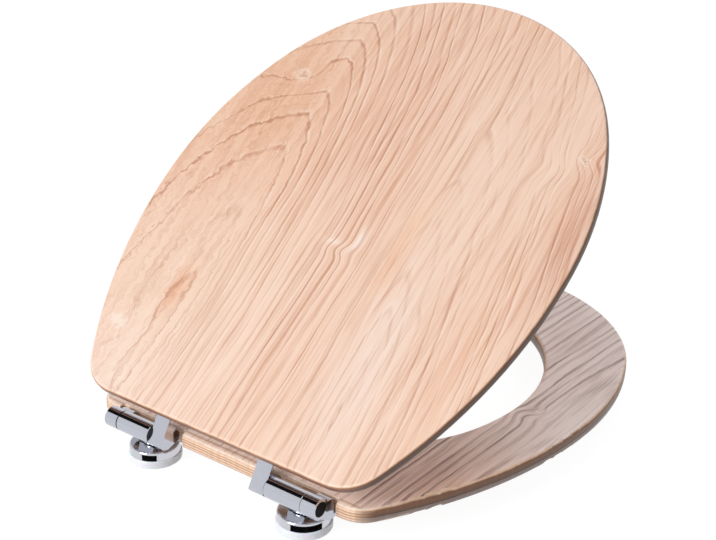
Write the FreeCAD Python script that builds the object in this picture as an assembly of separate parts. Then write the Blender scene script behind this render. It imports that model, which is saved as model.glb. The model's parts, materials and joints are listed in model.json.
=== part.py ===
import FreeCAD, Part
import math
import os

# A wooden toilet seat with its lid raised part way.
# Millimetres. +X runs along the hinge line, +Y to the front of the seat, +Z up.
# The origin lies midway between the two fixings, on the rim that the seat stands on.

# Whole seat
SEAT_WIDTH = 375.0
SEAT_LENGTH = 421.5
FIXING_SPACING = 146.0
AXIS_BEHIND_FIXING = 16.0
LID_OPEN_DEG = 36.8

# Lid panel
LID_REAR_FROM_AXIS = 11.3
LID_WIDEST_SHARE = 0.484
LID_FRONT_JOIN_DEG = 29.1
LID_REAR_SIDE_ROUNDNESS = 1.941
LID_CORNER_RADIUS = 38.0
LID_THICKNESS = 8.0
LID_EDGE_ROUND = 2.6
LID_UNDERSIDE_ABOVE_AXIS = 10.8

# Seat ring
RING_INSIDE_LID = 1.1
RING_REAR_FROM_AXIS = 10.5
RING_WIDEST_SHARE = 0.490
RING_FRONT_JOIN_DEG = 23.2
RING_REAR_SIDE_ROUNDNESS = 1.963
RING_CORNER_RADIUS = 24.0
RING_THICKNESS = 12.5
RING_EDGE_ROUND = 3.6
RING_TOP_ABOVE_AXIS = 2.0
RING_OVER_FOOT = 1.1

# Hole in the seat ring, and the widths of wood left round it
RIM_SIDE = 55.4
RIM_REAR = 51.0
RIM_FRONT = 80.0
HOLE_WIDEST_SHARE = 0.494
HOLE_FRONT_JOIN_DEG = 50.1
HOLE_REAR_JOIN_DEG = 15.7

# Notch in the ring's rear edge that takes one hinge
NOTCH_GAP = 4.5
NOTCH_DEPTH = 6.0
NOTCH_CORNER_RADIUS = 2.5

# Stack of one hinge along its axis
HINGE_INNER_REACH = 30.5
HINGE_OUTER_REACH = 27.4
LID_ARM_WIDTH = 13.2
RING_ARM_WIDTH = 11.8
ARM_GAP = 0.6

# Fixed barrel
BARREL_RADIUS = 7.8
BARREL_WALL = 1.9
BARREL_END_CHAMFER = 0.4
NECK_WIDTH = 15.0
FOOT_RADIUS = 9.5
FOOT_HEIGHT = 5.8
FOOT_EDGE_ROUND = 0.8

# Rosette, its washer and the plate inside it
WASHER_OVERHANG = 1.1
WASHER_HEIGHT = 6.3
WASHER_EDGE_ROUND = 1.4
ROSETTE_RADIUS = 19.2
ROSETTE_SIDE_HEIGHT = 5.0
ROSETTE_RIM_ROUND = 2.0
ROSETTE_DOME_RISE = 1.0
ROSETTE_WALL = 1.2
PLATE_THICKNESS = 3.4
SPIGOT_RADIUS = 7.0
FIXING_THREAD_RADIUS = 3.4
POST_RADIUS = 5.0
POST_FLANGE_WIDTH = 3.0
POST_FLANGE_HEIGHT = 1.4
POST_GROOVE_DEPTH = 0.8
POST_SOCKET_ROOF = 1.2
POST_TIP_CHAMFER = 0.6
GRUB_RADIUS = 1.2
GRUB_SIDE_PLAY = 0.1
GRUB_RECESS = 0.3
GRUB_SOCKET_RADIUS = 0.6
GRUB_SOCKET_DEPTH = 1.4

# Arms
ARM_FACET_FROM_AXIS = 4.5
ARM_FACET_TILT_DEG = 23.2
LEAF_THICKNESS = 3.0
LEAF_REACH = 52.0
LID_ARM_FRONT = 10.8
LID_ARM_BOTTOM = -10.2
LID_ARM_CORNER_RADIUS = 5.0
LID_ARM_HEEL_RISE = 1.0
RING_ARM_FRONT = 14.0
RING_ARM_TOP = 2.4
RING_ARM_CORNER_RADIUS = 3.0
RING_LEAF_REAR = 9.5
ARM_SCREW_SPOTS = (27.0, 43.0)
END_CAP_INSET = 2.3
END_CAP_THICKNESS = 1.6
END_CAP_PROUD = 0.4
END_CAP_CHAMFER = 0.28

# Soft-close damper, shafts, pins and bushes
DAMPER_LENGTH = 26.0
DAMPER_END_INSET = 0.8
DAMPER_WALL = 0.75
DAMPER_END_WALL = 1.6
ROTOR_RADIUS = 3.0
ROTOR_FLAT_DEPTH = 0.8
ROTOR_REACH = 9.0
ROTOR_CORE_RADIUS = 2.4
VANE_THICKNESS = 2.6
PIN_RADIUS = 2.5
PIN_REACH = 9.0
BUSH_WALL = 0.8
FLANGE_THICKNESS = 0.5
FLANGE_INSET = 0.9

# Wood screws of the arms and of the ring's buffers
SCREW_SHANK_RADIUS = 1.7
SCREW_HEAD_RADIUS = 3.5
SCREW_HEAD_HEIGHT = 1.9
SCREW_POINT_LENGTH = 2.0
LID_SCREW_BITE = 5.6
RING_SCREW_BITE = 8.0
CROSS_SLOT_WIDTH = 0.7
CROSS_SLOT_LENGTH = 3.8
CROSS_SLOT_DEPTH = 1.0

# Buffers: spots as shares of the half width and of the length from the rear edge
RING_BUFFER_REAR_SPOT = (0.576, 0.184)
RING_BUFFER_FRONT_SPOT = (0.453, 0.848)
RING_BUFFER_TOP_RADIUS = 10.0
RING_BUFFER_TAPER = 1.4
RING_BUFFER_EDGE_ROUND = 1.5
BUFFER_WELL_RADIUS = 4.4
BUFFER_FLOOR = 5.0
LID_BUFFER_SIDE_SPOT = (0.845, 0.464)
LID_BUFFER_FRONT_SPOT = (0.453, 0.848)
LID_BUFFER_RADIUS = 7.5
LID_BUFFER_EDGE_ROUND = 2.0
LID_BUFFER_PEG_RADIUS = 2.5
LID_BUFFER_PEG_LENGTH = 4.5

# Clearances
RUNNING_FIT = 0.05
SEATED_FIT = 0.05
DAMPER_FIT = 0.1
RESTING_GAP = 0.3

# Heights that follow from the stack under the ring
ROSETTE_TOP_Z = WASHER_HEIGHT + ROSETTE_SIDE_HEIGHT + ROSETTE_RIM_ROUND + ROSETTE_DOME_RISE
PLATE_TOP_Z = WASHER_HEIGHT + PLATE_THICKNESS
FOOT_BOTTOM_Z = ROSETTE_TOP_Z + RESTING_GAP
FOOT_TOP_Z = FOOT_BOTTOM_Z + FOOT_HEIGHT
POST_TOP_Z = FOOT_TOP_Z - POST_SOCKET_ROOF
GRUB_Z = (FOOT_BOTTOM_Z + FOOT_TOP_Z) / 2.0
RING_UNDERSIDE_Z = FOOT_TOP_Z + RING_OVER_FOOT
RING_TOP_Z = RING_UNDERSIDE_Z + RING_THICKNESS
AXIS_HEIGHT = RING_TOP_Z - RING_TOP_ABOVE_AXIS
LID_UNDERSIDE_Z = AXIS_HEIGHT + LID_UNDERSIDE_ABOVE_AXIS
LID_TOP_Z = LID_UNDERSIDE_Z + LID_THICKNESS

# Places that follow from the seat's plan
AXIS_Y = -AXIS_BEHIND_FIXING
LID_HALF_WIDTH = SEAT_WIDTH / 2.0
LID_REAR_Y = AXIS_Y + LID_REAR_FROM_AXIS
RING_HALF_WIDTH = LID_HALF_WIDTH - RING_INSIDE_LID
RING_REAR_Y = AXIS_Y + RING_REAR_FROM_AXIS
HOLE_HALF_WIDTH = RING_HALF_WIDTH - RIM_SIDE
HOLE_REAR_Y = RING_REAR_Y + RIM_REAR
HOLE_LENGTH = SEAT_LENGTH - RIM_REAR - RIM_FRONT
LID_ARM_INNER_X = FIXING_SPACING / 2.0 - HINGE_INNER_REACH
RING_ARM_OUTER_X = FIXING_SPACING / 2.0 + HINGE_OUTER_REACH
RING_ARM_INNER_X = RING_ARM_OUTER_X - RING_ARM_WIDTH
BARREL_INNER_X = LID_ARM_INNER_X + LID_ARM_WIDTH + ARM_GAP
BARREL_OUTER_X = RING_ARM_INNER_X - ARM_GAP

# Sizes that follow from the hinge's fits
WASHER_RADIUS = ROSETTE_RADIUS + WASHER_OVERHANG
BARREL_BORE_RADIUS = BARREL_RADIUS - BARREL_WALL
DAMPER_CAVITY_RADIUS = BARREL_BORE_RADIUS - DAMPER_WALL
FLANGE_RADIUS = BARREL_RADIUS - FLANGE_INSET
BUSH_RADIUS = PIN_RADIUS + RUNNING_FIT + BUSH_WALL
END_CAP_RADIUS = BARREL_RADIUS - END_CAP_INSET
END_CAP_SEAT = END_CAP_THICKNESS - END_CAP_PROUD
UP = FreeCAD.Vector(0, 0, 1)
ALONG = FreeCAD.Vector(1, 0, 0)
OVERRUN = 5.0


def point(x, y, z=0.0):
    return FreeCAD.Vector(x, y, z)


def arc(centre, radius, start_deg, end_deg):
    """One arc in the XY plane, from its centre, radius and two angles."""
    def at(angle):
        turn = math.radians(angle)
        return point(centre[0] + radius * math.cos(turn), centre[1] + radius * math.sin(turn))
    return Part.Arc(at(start_deg), at((start_deg + end_deg) / 2.0), at(end_deg)).toShape()


def line(start, end):
    return Part.LineSegment(point(*start), point(*end)).toShape()


def egg_end(half_width, widest, reach, join_deg, way):
    """Half of an egg: two side arcs and an end arc that join where they share a direction.

    The side arcs start upright at the widest place, and way is 1 for the front or -1 for the rear.
    """
    across = math.cos(math.radians(join_deg))
    along = math.sin(math.radians(join_deg))
    spare = across + along - 1.0
    side_radius = (reach * across - half_width * (1.0 - along)) / spare
    end_radius = (half_width * along - reach * (1.0 - across)) / spare
    side_x = half_width - side_radius
    end_y = widest + way * (reach - end_radius)
    return [
        arc((side_x, widest), side_radius, 0, way * join_deg),
        arc((0, end_y), end_radius, way * join_deg, way * (180 - join_deg)),
        arc((-side_x, widest), side_radius, way * (180 - join_deg), way * 180),
    ]


def oval_face(half_width, rear, length, widest, front_join_deg, rear_join_deg):
    """Egg-shaped hole in the ring."""
    front_arcs = egg_end(half_width, widest, rear + length - widest, front_join_deg, 1)
    rear_arcs = egg_end(half_width, widest, widest - rear, rear_join_deg, -1)
    return Part.Face(Part.Wire(Part.__sortEdges__(front_arcs + rear_arcs)))


def seat_face(half_width, rear, length, widest, front_join_deg, rear_side_radius, corner_radius):
    """Seat outline: an egg whose rear is cut straight, with rounded corners."""
    aft_x = half_width - rear_side_radius
    drop = rear + corner_radius - widest
    reach = math.sqrt((rear_side_radius - corner_radius) ** 2 - drop ** 2)
    corner = (aft_x + reach, rear + corner_radius)
    turn = math.degrees(math.atan2(drop, reach))
    rear_edges = [
        arc((-aft_x, widest), rear_side_radius, 180, 180 - turn),
        arc((-corner[0], corner[1]), corner_radius, 180 - turn, 270),
        line((-corner[0], rear), (corner[0], rear)),
        arc(corner, corner_radius, -90, turn),
        arc((aft_x, widest), rear_side_radius, turn, 0),
    ]
    front_arcs = egg_end(half_width, widest, rear + length - widest, front_join_deg, 1)
    return Part.Face(Part.Wire(Part.__sortEdges__(front_arcs + rear_edges)))


def slab(face, bottom, top):
    shape = face.copy()
    shape.translate(point(0, 0, bottom))
    return shape.extrude(point(0, 0, top - bottom))


def round_flat_edges(shape, levels, radius):
    """Fillet every edge that lies wholly in one of the given levels."""
    picked = []
    for edge in shape.Edges:
        box = edge.BoundBox
        for level in levels:
            if abs(box.ZMin - level) < 1e-4 and abs(box.ZMax - level) < 1e-4:
                picked.append(edge)
    return shape.makeFillet(radius, picked)


def disc(x, y, bottom, top, radius):
    return Part.makeCylinder(radius, top - bottom, point(x, y, bottom), UP)


def box(x0, x1, y0, y1, z0, z1):
    corner = point(min(x0, x1), min(y0, y1), min(z0, z1))
    return Part.makeBox(abs(x1 - x0), abs(y1 - y0), abs(z1 - z0), corner)


def rod(x0, x1, radius, y=AXIS_Y, z=AXIS_HEIGHT):
    """Round bar along X, about the hinge axis unless another line is given."""
    return Part.makeCylinder(radius, abs(x1 - x0), point(min(x0, x1), y, z), ALONG)


def forward_rod(x, y0, y1, radius):
    """Round bar along Y at the height of the grub screws."""
    return Part.makeCylinder(radius, y1 - y0, point(x, y0, GRUB_Z), point(0, 1, 0))


def turned(x, y, outline):
    """Body turned about an upright line, from (radius, height) corners."""
    corners = [point(x + radius, y, height) for radius, height in outline]
    face = Part.Face(Part.makePolygon(corners + corners[:1]))
    return face.revolve(point(x, y, 0), UP, 360)


def side_plate(edges, x0, x1):
    """Prism along X from edges drawn as (forward, up) about the hinge axis."""
    face = Part.Face(Part.Wire(Part.__sortEdges__(edges)))
    across = FreeCAD.Matrix(0, 0, 1, min(x0, x1), 1, 0, 0, AXIS_Y, 0, 1, 0, AXIS_HEIGHT, 0, 0, 0, 1)
    face.transformShape(across)
    return face.extrude(point(abs(x1 - x0), 0, 0))


def raise_lid(shape):
    """Turn a piece of the closed lid to the angle at which the lid stands."""
    shape.rotate(point(0, AXIS_Y, AXIS_HEIGHT), ALONG, LID_OPEN_DEG)
    return shape


def wood_screw(x, y, head_z, tip_z):
    """Countersunk screw that enters upwards, head face at head_z."""
    neck_z = head_z + SCREW_HEAD_HEIGHT
    taper_z = tip_z - SCREW_POINT_LENGTH
    body = turned(x, y, [(0, head_z), (SCREW_HEAD_RADIUS, head_z), (SCREW_SHANK_RADIUS, neck_z),
                         (SCREW_SHANK_RADIUS, taper_z), (0, tip_z)])
    half = CROSS_SLOT_LENGTH / 2.0
    thin = CROSS_SLOT_WIDTH / 2.0
    floor_z = head_z + CROSS_SLOT_DEPTH
    body = body.cut(box(x - half, x + half, y - thin, y + thin, head_z - OVERRUN, floor_z))
    return body.cut(box(x - thin, x + thin, y - half, y + half, head_z - OVERRUN, floor_z))


def screw_hole(x, y, head_z, tip_z):
    """Room for one wood screw, with its seat for the head."""
    wide = SEATED_FIT
    neck_z = head_z + SCREW_HEAD_HEIGHT
    return turned(x, y, [(0, head_z - OVERRUN), (SCREW_HEAD_RADIUS + wide, head_z - OVERRUN),
                         (SCREW_HEAD_RADIUS + wide, head_z), (SCREW_SHANK_RADIUS + wide, neck_z),
                         (SCREW_SHANK_RADIUS + wide, tip_z + wide), (0, tip_z + wide)])


def arm_screw_spots(side, inner_x, width):
    """Places of the screws along the middle of an arm's leaf."""
    middle = side * (inner_x + width / 2.0)
    return [(middle, AXIS_Y + reach) for reach in ARM_SCREW_SPOTS]


# Lid arm, drawn on the closed lid

def lid_arm_outline():
    facet = math.radians(90.0 + ARM_FACET_TILT_DEG)
    along = (math.cos(facet - math.pi / 2), math.sin(facet - math.pi / 2))
    foot = (ARM_FACET_FROM_AXIS * math.cos(facet), ARM_FACET_FROM_AXIS * math.sin(facet))
    back = math.sqrt(BARREL_RADIUS ** 2 - ARM_FACET_FROM_AXIS ** 2)
    start = (foot[0] - back * along[0], foot[1] - back * along[1])
    climb = (LID_UNDERSIDE_ABOVE_AXIS - foot[1]) / along[1]
    crest = (foot[0] + climb * along[0], LID_UNDERSIDE_ABOVE_AXIS)
    leaf_bottom = LID_UNDERSIDE_ABOVE_AXIS - LEAF_THICKNESS
    corner = (LID_ARM_FRONT - LID_ARM_CORNER_RADIUS, LID_ARM_BOTTOM + LID_ARM_CORNER_RADIUS)
    heel_height = BARREL_RADIUS - LID_ARM_HEEL_RISE
    heel_point = (-math.sqrt(BARREL_RADIUS ** 2 - heel_height ** 2), -heel_height)
    start_deg = math.degrees(math.atan2(start[1], start[0])) % 360.0
    heel_deg = math.degrees(math.atan2(heel_point[1], heel_point[0])) % 360.0
    return [
        line(start, crest),
        line(crest, (LEAF_REACH, LID_UNDERSIDE_ABOVE_AXIS)),
        line((LEAF_REACH, LID_UNDERSIDE_ABOVE_AXIS), (LEAF_REACH, leaf_bottom)),
        line((LEAF_REACH, leaf_bottom), (LID_ARM_FRONT, leaf_bottom)),
        line((LID_ARM_FRONT, leaf_bottom), (LID_ARM_FRONT, corner[1])),
        arc(corner, LID_ARM_CORNER_RADIUS, 0, -90),
        line((corner[0], LID_ARM_BOTTOM), heel_point),
        arc((0, 0), BARREL_RADIUS, heel_deg, start_deg),
    ]


def round_leaf_tip(shape, x0, x1, bottom, top):
    """Trim the leaf's far end to a half circle."""
    radius = abs(x1 - x0) / 2.0
    middle = (x0 + x1) / 2.0
    tip_y = AXIS_Y + LEAF_REACH - radius
    square = box(x0, x1, tip_y, tip_y + radius + OVERRUN, bottom, top)
    return shape.cut(square.cut(disc(middle, tip_y, bottom, top, radius)))


def lid_arm(side, driven):
    inner = side * LID_ARM_INNER_X
    outer = side * (LID_ARM_INNER_X + LID_ARM_WIDTH)
    shape = side_plate(lid_arm_outline(), inner, outer)
    leaf_bottom = LID_UNDERSIDE_Z - LEAF_THICKNESS
    shape = round_leaf_tip(shape, inner, outer, leaf_bottom, LID_UNDERSIDE_Z)
    shape = shape.cut(arm_socket(outer, -side, driven))
    for x, y in arm_screw_spots(side, LID_ARM_INNER_X, LID_ARM_WIDTH):
        shape = shape.cut(screw_hole(x, y, leaf_bottom, LID_UNDERSIDE_Z + OVERRUN))
    return raise_lid(shape)


def lid_arm_screws(side):
    head = LID_UNDERSIDE_Z - LEAF_THICKNESS
    tip = LID_UNDERSIDE_Z + LID_SCREW_BITE
    spots = arm_screw_spots(side, LID_ARM_INNER_X, LID_ARM_WIDTH)
    return raise_lid(Part.makeCompound([wood_screw(x, y, head, tip) for x, y in spots]))


# Ring arm

def ring_arm_outline():
    leaf_top = RING_TOP_ABOVE_AXIS - RING_THICKNESS
    leaf_bottom = leaf_top - LEAF_THICKNESS
    corner = (RING_ARM_FRONT - RING_ARM_CORNER_RADIUS, RING_ARM_TOP - RING_ARM_CORNER_RADIUS)
    brow_deg = math.degrees(math.asin(RING_ARM_TOP / BARREL_RADIUS))
    brow = (BARREL_RADIUS * math.cos(math.radians(brow_deg)), RING_ARM_TOP)
    heel_deg = 270.0
    return [
        arc((0, 0), BARREL_RADIUS, brow_deg, heel_deg),
        line((0, -BARREL_RADIUS), (RING_LEAF_REAR, leaf_bottom)),
        line((RING_LEAF_REAR, leaf_bottom), (LEAF_REACH, leaf_bottom)),
        line((LEAF_REACH, leaf_bottom), (LEAF_REACH, leaf_top)),
        line((LEAF_REACH, leaf_top), (RING_ARM_FRONT, leaf_top)),
        line((RING_ARM_FRONT, leaf_top), (RING_ARM_FRONT, corner[1])),
        arc(corner, RING_ARM_CORNER_RADIUS, 0, 90),
        line((corner[0], RING_ARM_TOP), brow),
    ]


def ring_arm(side, driven):
    inner = side * RING_ARM_INNER_X
    outer = side * RING_ARM_OUTER_X
    shape = side_plate(ring_arm_outline(), inner, outer)
    leaf_bottom = RING_UNDERSIDE_Z - LEAF_THICKNESS
    shape = round_leaf_tip(shape, inner, outer, leaf_bottom, RING_UNDERSIDE_Z)
    shape = shape.cut(arm_socket(inner, side, driven))
    seat = rod(outer - side * END_CAP_SEAT, outer + side * OVERRUN, END_CAP_RADIUS + SEATED_FIT)
    shape = shape.cut(seat)
    for x, y in arm_screw_spots(side, RING_ARM_INNER_X, RING_ARM_WIDTH):
        shape = shape.cut(screw_hole(x, y, leaf_bottom, RING_UNDERSIDE_Z + OVERRUN))
    return shape


def ring_arm_screws(side):
    head = RING_UNDERSIDE_Z - LEAF_THICKNESS
    tip = RING_UNDERSIDE_Z + RING_SCREW_BITE
    spots = arm_screw_spots(side, RING_ARM_INNER_X, RING_ARM_WIDTH)
    return Part.makeCompound([wood_screw(x, y, head, tip) for x, y in spots])


def end_cap(side):
    outer = side * RING_ARM_OUTER_X
    face_x = RING_ARM_OUTER_X + END_CAP_PROUD
    cap = rod(outer - side * END_CAP_SEAT, side * face_x, END_CAP_RADIUS)
    rim = []
    for edge in cap.Edges:
        limits = edge.BoundBox
        flat = limits.XMax - limits.XMin < 1e-6
        if flat and abs(abs(limits.XMin) - face_x) < 1e-4:
            rim.append(edge)
    return cap.makeChamfer(END_CAP_CHAMFER, rim)


# Shafts, pins and bushes on the hinge axis

def flatted(x0, x1, radius):
    """Round bar with two flats, which turns the arm that it sits in."""
    half = radius - ROTOR_FLAT_DEPTH
    keep = box(x0, x1, AXIS_Y - half, AXIS_Y + half, AXIS_HEIGHT - radius, AXIS_HEIGHT + radius)
    return rod(x0, x1, radius).common(keep)


def arm_socket(face_x, outward, driven):
    """Hole in an arm, from the face next to the barrel: flatted, or round for a bush."""
    start = face_x - outward * OVERRUN
    if driven:
        end = face_x + outward * (ROTOR_REACH + SEATED_FIT)
        return flatted(start, end, ROTOR_RADIUS + SEATED_FIT)
    end = face_x + outward * (PIN_REACH + SEATED_FIT)
    return rod(start, end, BUSH_RADIUS + SEATED_FIT)


def barrel(side):
    """Fixed tube of the hinge, with the neck and foot that sit on the rosette's post."""
    inner = side * BARREL_INNER_X
    outer = side * BARREL_OUTER_X
    middle = side * FIXING_SPACING / 2.0
    tube = rod(inner, outer, BARREL_RADIUS)
    rims = [edge for edge in tube.Edges if edge.BoundBox.XMax - edge.BoundBox.XMin < 1e-6]
    tube = tube.makeChamfer(BARREL_END_CHAMFER, rims)
    foot_up = FOOT_TOP_Z - AXIS_HEIGHT
    foot_down = FOOT_BOTTOM_Z - AXIS_HEIGHT
    reach = AXIS_BEHIND_FIXING
    rear = reach - FOOT_RADIUS + 1.0
    neck = side_plate([
        line((1.5, -6.0), (6.0, -2.5)),
        line((6.0, -2.5), (rear + 5.0, foot_up)),
        line((rear + 5.0, foot_up), (reach, foot_up)),
        line((reach, foot_up), (reach, foot_down)),
        line((reach, foot_down), (rear, foot_down)),
        line((rear, foot_down), (1.5, -6.0)),
    ], middle - NECK_WIDTH / 2.0, middle + NECK_WIDTH / 2.0)
    foot = disc(middle, 0, FOOT_BOTTOM_Z, FOOT_TOP_Z, FOOT_RADIUS)
    foot = round_flat_edges(foot, (FOOT_BOTTOM_Z, FOOT_TOP_Z), FOOT_EDGE_ROUND)
    shape = tube.fuse([neck, foot]).removeSplitter()
    shape = shape.cut(rod(inner - side * OVERRUN, outer + side * OVERRUN, BARREL_BORE_RADIUS))
    socket = disc(middle, 0, FOOT_BOTTOM_Z - OVERRUN, POST_TOP_Z + SEATED_FIT, POST_RADIUS + SEATED_FIT)
    grub_hole = forward_rod(middle, 0, FOOT_RADIUS + OVERRUN, GRUB_RADIUS + SEATED_FIT)
    return shape.cut(socket).cut(grub_hole)


def grub_screw(side):
    """Headless screw from the front of the foot, with its tip in the post's groove."""
    middle = side * FIXING_SPACING / 2.0
    tip = POST_RADIUS - POST_GROOVE_DEPTH + SEATED_FIT
    end = FOOT_RADIUS - GRUB_RECESS
    body = forward_rod(middle, tip, end, GRUB_RADIUS)
    return body.cut(forward_rod(middle, end - GRUB_SOCKET_DEPTH, end + OVERRUN, GRUB_SOCKET_RADIUS))


def driven_face(side, outward):
    """Barrel end on the damper's side, and the way out of it."""
    if outward:
        return side * BARREL_OUTER_X, side
    return side * BARREL_INNER_X, -side


def damper_case(side, outward):
    face, way = driven_face(side, outward)
    start = face - way * DAMPER_END_INSET
    end = start - way * DAMPER_LENGTH
    shell = rod(start, end, BARREL_BORE_RADIUS - SEATED_FIT)
    cavity = rod(start - way * DAMPER_END_WALL, end, DAMPER_CAVITY_RADIUS)
    mouth = rod(start, start - way * DAMPER_END_WALL, ROTOR_RADIUS + DAMPER_FIT)
    return shell.cut(cavity.fuse(mouth))


def damper_cap(side, outward):
    face, way = driven_face(side, outward)
    end = face - way * (DAMPER_END_INSET + DAMPER_LENGTH)
    return rod(end, end + way * DAMPER_END_WALL, DAMPER_CAVITY_RADIUS - SEATED_FIT)


def damper_rotor(side, outward):
    """Shaft with two vanes in the oil space and a flatted end in the arm."""
    face, way = driven_face(side, outward)
    start = face - way * DAMPER_END_INSET
    space_front = start - way * (DAMPER_END_WALL + DAMPER_FIT)
    space_back = start - way * (DAMPER_LENGTH - DAMPER_END_WALL - DAMPER_FIT)
    vane_radius = DAMPER_CAVITY_RADIUS - DAMPER_FIT
    half = VANE_THICKNESS / 2.0
    vanes = rod(space_front, space_back, vane_radius).common(
        box(space_front, space_back, AXIS_Y - half, AXIS_Y + half,
            AXIS_HEIGHT - vane_radius, AXIS_HEIGHT + vane_radius))
    core = rod(space_front, space_back, ROTOR_CORE_RADIUS)
    neck = rod(space_front, face, ROTOR_RADIUS)
    drive = flatted(face, face + way * (ARM_GAP + ROTOR_REACH), ROTOR_RADIUS)
    shape = core.fuse([vanes, neck, drive]).removeSplitter()
    if outward:
        return shape
    return raise_lid(shape)


def thrust_washer(side, outward):
    """Plastic washer between the barrel and the arm that the damper drives."""
    face, way = driven_face(side, outward)
    start = face + way * RUNNING_FIT
    ring = rod(start, start + way * FLANGE_THICKNESS, FLANGE_RADIUS)
    return ring.cut(rod(face - way * OVERRUN, face + way * OVERRUN, ROTOR_RADIUS + DAMPER_FIT))


def pivot_pin(side, outward):
    """Plug that closes the barrel's free end, turned in one piece with its pin."""
    face, way = driven_face(side, not outward)
    barrel_length = BARREL_OUTER_X - BARREL_INNER_X
    depth = barrel_length - DAMPER_END_INSET - DAMPER_LENGTH - SEATED_FIT
    plug = rod(face, face - way * depth, BARREL_BORE_RADIUS - SEATED_FIT)
    pin = rod(face, face + way * (PIN_REACH + ARM_GAP - SEATED_FIT), PIN_RADIUS)
    return plug.fuse(pin).removeSplitter()


def flanged_bush(side, outward):
    """Plastic bush of the arm that turns freely on the pin."""
    face, way = driven_face(side, not outward)
    arm_face = face + way * ARM_GAP
    sleeve = rod(arm_face, arm_face + way * PIN_REACH, BUSH_RADIUS)
    flange = rod(arm_face, arm_face - way * FLANGE_THICKNESS, FLANGE_RADIUS)
    bore = rod(face - way * OVERRUN, arm_face + way * (PIN_REACH + OVERRUN), PIN_RADIUS + RUNNING_FIT)
    return sleeve.fuse(flange).cut(bore).removeSplitter()


# Rosette and what it hides

def rosette_washer(x):
    ring = disc(x, 0, 0, WASHER_HEIGHT, WASHER_RADIUS)
    ring = round_flat_edges(ring, (0, WASHER_HEIGHT), WASHER_EDGE_ROUND)
    return ring.cut(disc(x, 0, -OVERRUN, WASHER_HEIGHT + OVERRUN, SPIGOT_RADIUS + SEATED_FIT))


def dome(x, radius, side_top, rim_round, rise, bottom):
    """Turned button: upright side, rounded rim and a slightly domed top."""
    rim_centre = point(x + radius - rim_round, 0, side_top)
    lean = math.radians(45.0)
    rim_top = point(x + radius - rim_round, 0, side_top + rim_round)
    rim_mid = rim_centre + point(rim_round * math.cos(lean), 0, rim_round * math.sin(lean))
    crown = point(x, 0, side_top + rim_round + rise)
    span = radius - rim_round
    dome_radius = (span ** 2 + rise ** 2) / (2.0 * rise)
    half_way = span / 2.0
    sag = dome_radius - math.sqrt(dome_radius ** 2 - half_way ** 2)
    crown_mid = point(x + half_way, 0, crown.z - sag)
    edges = [
        Part.LineSegment(point(x, 0, bottom), point(x + radius, 0, bottom)).toShape(),
        Part.LineSegment(point(x + radius, 0, bottom), point(x + radius, 0, side_top)).toShape(),
        Part.Arc(point(x + radius, 0, side_top), rim_mid, rim_top).toShape(),
        Part.Arc(rim_top, crown_mid, crown).toShape(),
        Part.LineSegment(crown, point(x, 0, bottom)).toShape(),
    ]
    face = Part.Face(Part.Wire(Part.__sortEdges__(edges)))
    return face.revolve(point(x, 0, 0), UP, 360)


def rosette(x):
    side_top = WASHER_HEIGHT + ROSETTE_SIDE_HEIGHT
    outside = dome(x, ROSETTE_RADIUS, side_top, ROSETTE_RIM_ROUND, ROSETTE_DOME_RISE, WASHER_HEIGHT)
    inside = dome(x, ROSETTE_RADIUS - ROSETTE_WALL, side_top, ROSETTE_RIM_ROUND - ROSETTE_WALL,
                  ROSETTE_DOME_RISE, WASHER_HEIGHT - 1.0)
    post_hole = disc(x, 0, WASHER_HEIGHT, FOOT_TOP_Z, POST_RADIUS + SEATED_FIT)
    return outside.cut(inside).cut(post_hole)


def base_plate(x):
    """Disc inside the rosette, with the threaded spigot that the fixing bolt enters."""
    radius = ROSETTE_RADIUS - ROSETTE_WALL - SEATED_FIT
    plate = disc(x, 0, WASHER_HEIGHT, PLATE_TOP_Z, radius)
    spigot = disc(x, 0, 0, WASHER_HEIGHT, SPIGOT_RADIUS)
    thread = disc(x, 0, -OVERRUN, PLATE_TOP_Z + OVERRUN, FIXING_THREAD_RADIUS)
    return plate.fuse(spigot).cut(thread).removeSplitter()


def post(x):
    """Flanged stud that carries the barrel's foot, with a groove for the grub screw."""
    flange = POST_RADIUS + POST_FLANGE_WIDTH
    flange_top = PLATE_TOP_Z + POST_FLANGE_HEIGHT
    low = GRUB_Z - GRUB_RADIUS - GRUB_SIDE_PLAY
    high = GRUB_Z + GRUB_RADIUS + GRUB_SIDE_PLAY
    thin = POST_RADIUS - POST_GROOVE_DEPTH
    tip = POST_RADIUS - POST_TIP_CHAMFER
    return turned(x, 0, [(0, PLATE_TOP_Z), (flange, PLATE_TOP_Z), (flange, flange_top),
                         (POST_RADIUS, flange_top), (POST_RADIUS, low), (thin, low),
                         (thin, high), (POST_RADIUS, high), (POST_RADIUS, POST_TOP_Z - POST_TIP_CHAMFER),
                         (tip, POST_TOP_Z), (0, POST_TOP_Z)])


# Buffers

def ring_buffer(x, y):
    """Round foot under the ring, with a well for its screw's head."""
    top = RING_UNDERSIDE_Z
    soft = RING_BUFFER_EDGE_ROUND
    foot = RING_BUFFER_TOP_RADIUS - RING_BUFFER_TAPER
    body = turned(x, y, [(0, 0), (foot - soft, 0), (foot, soft),
                         (RING_BUFFER_TOP_RADIUS, top - soft), (RING_BUFFER_TOP_RADIUS, top), (0, top)])
    well = disc(x, y, -OVERRUN, top - BUFFER_FLOOR, BUFFER_WELL_RADIUS)
    return body.cut(well).cut(screw_hole(x, y, top - BUFFER_FLOOR, top + OVERRUN))


def buffer_screw(x, y):
    head = RING_UNDERSIDE_Z - BUFFER_FLOOR
    return wood_screw(x, y, head, RING_UNDERSIDE_Z + RING_SCREW_BITE)


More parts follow.
